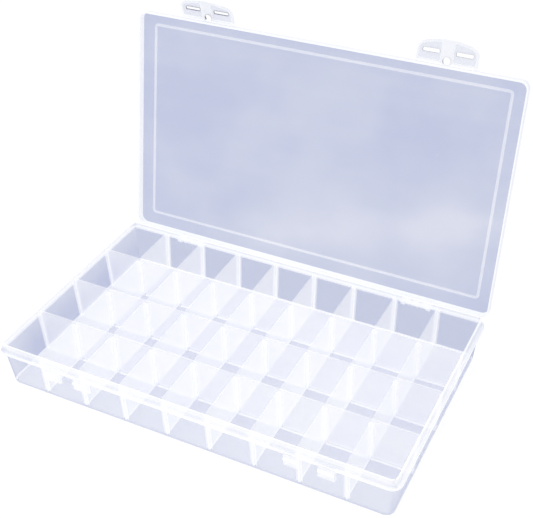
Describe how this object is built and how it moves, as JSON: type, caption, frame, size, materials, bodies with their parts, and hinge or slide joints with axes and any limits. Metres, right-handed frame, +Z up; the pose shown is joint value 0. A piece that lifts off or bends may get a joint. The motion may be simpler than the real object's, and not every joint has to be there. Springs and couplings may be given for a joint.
{
  "type": "plastic compartment box",
  "caption": "Shallow see-through organiser box with a grid of small compartments, loose dividers and a hinged lid that two fold-over latches hold shut.",
  "frame": {"origin": "middle of the tray's flat underside", "axes": "+X to the right along the long side, -Y towards the latches, +Z up"},
  "size_m": [0.2752, 0.2053, 0.2014],
  "materials": {
    "tray_plastic": "satin milky polypropylene",
    "lid_plastic": "satin milky polypropylene",
    "latch_plastic": "satin milky polypropylene",
    "divider_plastic": "satin milky polypropylene"
  },
  "bodies": {
    "tray": {"tray": "tray_plastic"},
    "lid": {"lid": "lid_plastic"},
    "latch_left": {"latch_left": "latch_plastic"},
    "latch_right": {"latch_right": "latch_plastic"},
    "divider_front_1": {"divider_front_1": "divider_plastic"},
    "divider_front_2": {"divider_front_2": "divider_plastic"},
    "divider_front_3": {"divider_front_3": "divider_plastic"},
    "divider_front_4": {"divider_front_4": "divider_plastic"},
    "divider_front_5": {"divider_front_5": "divider_plastic"},
    "divider_front_6": {"divider_front_6": "divider_plastic"},
    "divider_front_7": {"divider_front_7": "divider_plastic"},
    "divider_front_8": {"divider_front_8": "divider_plastic"},
    "divider_mid_front_1": {"divider_mid_front_1": "divider_plastic"},
    "divider_mid_front_2": {"divider_mid_front_2": "divider_plastic"},
    "divider_mid_front_3": {"divider_mid_front_3": "divider_plastic"},
    "divider_mid_front_4": {"divider_mid_front_4": "divider_plastic"},
    "divider_mid_front_5": {"divider_mid_front_5": "divider_plastic"},
    "divider_mid_front_6": {"divider_mid_front_6": "divider_plastic"},
    "divider_mid_front_7": {"divider_mid_front_7": "divider_plastic"},
    "divider_mid_front_8": {"divider_mid_front_8": "divider_plastic"},
    "divider_mid_back_1": {"divider_mid_back_1": "divider_plastic"},
    "divider_mid_back_2": {"divider_mid_back_2": "divider_plastic"},
    "divider_mid_back_3": {"divider_mid_back_3": "divider_plastic"},
    "divider_mid_back_4": {"divider_mid_back_4": "divider_plastic"},
    "divider_mid_back_5": {"divider_mid_back_5": "divider_plastic"},
    "divider_mid_back_6": {"divider_mid_back_6": "divider_plastic"},
    "divider_mid_back_7": {"divider_mid_back_7": "divider_plastic"},
    "divider_mid_back_8": {"divider_mid_back_8": "divider_plastic"},
    "divider_back_1": {"divider_back_1": "divider_plastic"},
    "divider_back_2": {"divider_back_2": "divider_plastic"},
    "divider_back_3": {"divider_back_3": "divider_plastic"},
    "divider_back_4": {"divider_back_4": "divider_plastic"},
    "divider_back_5": {"divider_back_5": "divider_plastic"},
    "divider_back_6": {"divider_back_6": "divider_plastic"},
    "divider_back_7": {"divider_back_7": "divider_plastic"},
    "divider_back_8": {"divider_back_8": "divider_plastic"}
  },
  "joints": [
    {"name": "lid_hinge", "type": "hinge", "parent": "tray", "child": "lid", "pos_m": [0, 0.0827, 0.0255], "axis": [-1, 0, 0], "range_deg": [-99.8, 0]},
    {"name": "latch_left_hinge", "type": "hinge", "parent": "lid", "child": "latch_left", "pos_m": [-0.0835, 0.11608, 0.18647], "axis": [-1, 0, 0], "range_deg": [-65.2, 38.5]},
    {"name": "latch_right_hinge", "type": "hinge", "parent": "lid", "child": "latch_right", "pos_m": [0.0835, 0.11608, 0.18647], "axis": [-1, 0, 0], "range_deg": [-93.7, 10]},
    {"name": "divider_front_1_lift", "type": "slide", "parent": "tray", "child": "divider_front_1", "axis": [0, 0, 1], "range_m": [0, 0.035]},
    {"name": "divider_front_2_lift", "type": "slide", "parent": "tray", "child": "divider_front_2", "axis": [0, 0, 1], "range_m": [0, 0.035]},
    {"name": "divider_front_3_lift", "type": "slide", "parent": "tray", "child": "divider_front_3", "axis": [0, 0, 1], "range_m": [0, 0.035]},
    {"name": "divider_front_4_lift", "type": "slide", "parent": "tray", "child": "divider_front_4", "axis": [0, 0, 1], "range_m": [0, 0.035]},
    {"name": "divider_front_5_lift", "type": "slide", "parent": "tray", "child": "divider_front_5", "axis": [0, 0, 1], "range_m": [0, 0.035]},
    {"name": "divider_front_6_lift", "type": "slide", "parent": "tray", "child": "divider_front_6", "axis": [0, 0, 1], "range_m": [0, 0.035]},
    {"name": "divider_front_7_lift", "type": "slide", "parent": "tray", "child": "divider_front_7", "axis": [0, 0, 1], "range_m": [0, 0.035]},
    {"name": "divider_front_8_lift", "type": "slide", "parent": "tray", "child": "divider_front_8", "axis": [0, 0, 1], "range_m": [0, 0.035]},
    {"name": "divider_mid_front_1_lift", "type": "slide", "parent": "tray", "child": "divider_mid_front_1", "axis": [0, 0, 1], "range_m": [0, 0.035]},
    {"name": "divider_mid_front_2_lift", "type": "slide", "parent": "tray", "child": "divider_mid_front_2", "axis": [0, 0, 1], "range_m": [0, 0.035]},
    {"name": "divider_mid_front_3_lift", "type": "slide", "parent": "tray", "child": "divider_mid_front_3", "axis": [0, 0, 1], "range_m": [0, 0.035]},
    {"name": "divider_mid_front_4_lift", "type": "slide", "parent": "tray", "child": "divider_mid_front_4", "axis": [0, 0, 1], "range_m": [0, 0.035]},
    {"name": "divider_mid_front_5_lift", "type": "slide", "parent": "tray", "child": "divider_mid_front_5", "axis": [0, 0, 1], "range_m": [0, 0.035]},
    {"name": "divider_mid_front_6_lift", "type": "slide", "parent": "tray", "child": "divider_mid_front_6", "axis": [0, 0, 1], "range_m": [0, 0.035]},
    {"name": "divider_mid_front_7_lift", "type": "slide", "parent": "tray", "child": "divider_mid_front_7", "axis": [0, 0, 1], "range_m": [0, 0.035]},
    {"name": "divider_mid_front_8_lift", "type": "slide", "parent": "tray", "child": "divider_mid_front_8", "axis": [0, 0, 1], "range_m": [0, 0.035]},
    {"name": "divider_mid_back_1_lift", "type": "slide", "parent": "tray", "child": "divider_mid_back_1", "axis": [0, 0, 1], "range_m": [0, 0.035]},
    {"name": "divider_mid_back_2_lift", "type": "slide", "parent": "tray", "child": "divider_mid_back_2", "axis": [0, 0, 1], "range_m": [0, 0.035]},
    {"name": "divider_mid_back_3_lift", "type": "slide", "parent": "tray", "child": "divider_mid_back_3", "axis": [0, 0, 1], "range_m": [0, 0.035]},
    {"name": "divider_mid_back_4_lift", "type": "slide", "parent": "tray", "child": "divider_mid_back_4", "axis": [0, 0, 1], "range_m": [0, 0.035]},
    {"name": "divider_mid_back_5_lift", "type": "slide", "parent": "tray", "child": "divider_mid_back_5", "axis": [0, 0, 1], "range_m": [0, 0.035]},
    {"name": "divider_mid_back_6_lift", "type": "slide", "parent": "tray", "child": "divider_mid_back_6", "axis": [0, 0, 1], "range_m": [0, 0.035]},
    {"name": "divider_mid_back_7_lift", "type": "slide", "parent": "tray", "child": "divider_mid_back_7", "axis": [0, 0, 1], "range_m": [0, 0.035]},
    {"name": "divider_mid_back_8_lift", "type": "slide", "parent": "tray", "child": "divider_mid_back_8", "axis": [0, 0, 1], "range_m": [0, 0.035]},
    {"name": "divider_back_1_lift", "type": "slide", "parent": "tray", "child": "divider_back_1", "axis": [0, 0, 1], "range_m": [0, 0.035]},
    {"name": "divider_back_2_lift", "type": "slide", "parent": "tray", "child": "divider_back_2", "axis": [0, 0, 1], "range_m": [0, 0.035]},
    {"name": "divider_back_3_lift", "type": "slide", "parent": "tray", "child": "divider_back_3", "axis": [0, 0, 1], "range_m": [0, 0.035]},
    {"name": "divider_back_4_lift", "type": "slide", "parent": "tray", "child": "divider_back_4", "axis": [0, 0, 1], "range_m": [0, 0.035]},
    {"name": "divider_back_5_lift", "type": "slide", "parent": "tray", "child": "divider_back_5", "axis": [0, 0, 1], "range_m": [0, 0.035]},
    {"name": "divider_back_6_lift", "type": "slide", "parent": "tray", "child": "divider_back_6", "axis": [0, 0, 1], "range_m": [0, 0.035]},
    {"name": "divider_back_7_lift", "type": "slide", "parent": "tray", "child": "divider_back_7", "axis": [0, 0, 1], "range_m": [0, 0.035]},
    {"name": "divider_back_8_lift", "type": "slide", "parent": "tray", "child": "divider_back_8", "axis": [0, 0, 1], "range_m": [0, 0.035]}
  ]
}
